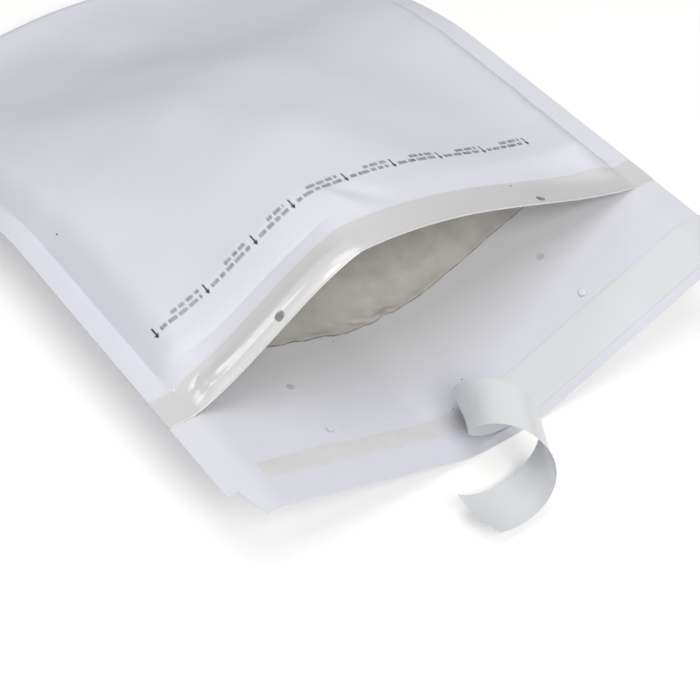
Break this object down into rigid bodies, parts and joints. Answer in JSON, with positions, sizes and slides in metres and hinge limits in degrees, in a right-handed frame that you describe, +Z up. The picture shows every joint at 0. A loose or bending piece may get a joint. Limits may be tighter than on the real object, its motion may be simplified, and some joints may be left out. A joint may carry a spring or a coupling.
{
  "type": "padded envelope",
  "caption": "Open padded mailing envelope with a raised mouth, a closing flap and a partly peeled release strip.",
  "frame": {"origin": "underside of the back panel, midway across, under the lip of the mouth", "axes": "+X across the envelope, +Y from the mouth to the folded bottom end, +Z up"},
  "size_m": [0.24, 0.3634, 0.0763],
  "materials": {
    "paper": "matte white kraft paper",
    "film": "translucent bubble film",
    "lip": "glossy film strip",
    "adhesive": "pale tacky adhesive",
    "release": "siliconed release strip"
  },
  "bodies": {
    "root": {"envelope_paper": "paper", "bubble_liner": "film", "lip_film": "lip", "flap_adhesive": "adhesive", "release_strip": "release"}
  },
  "joints": []
}
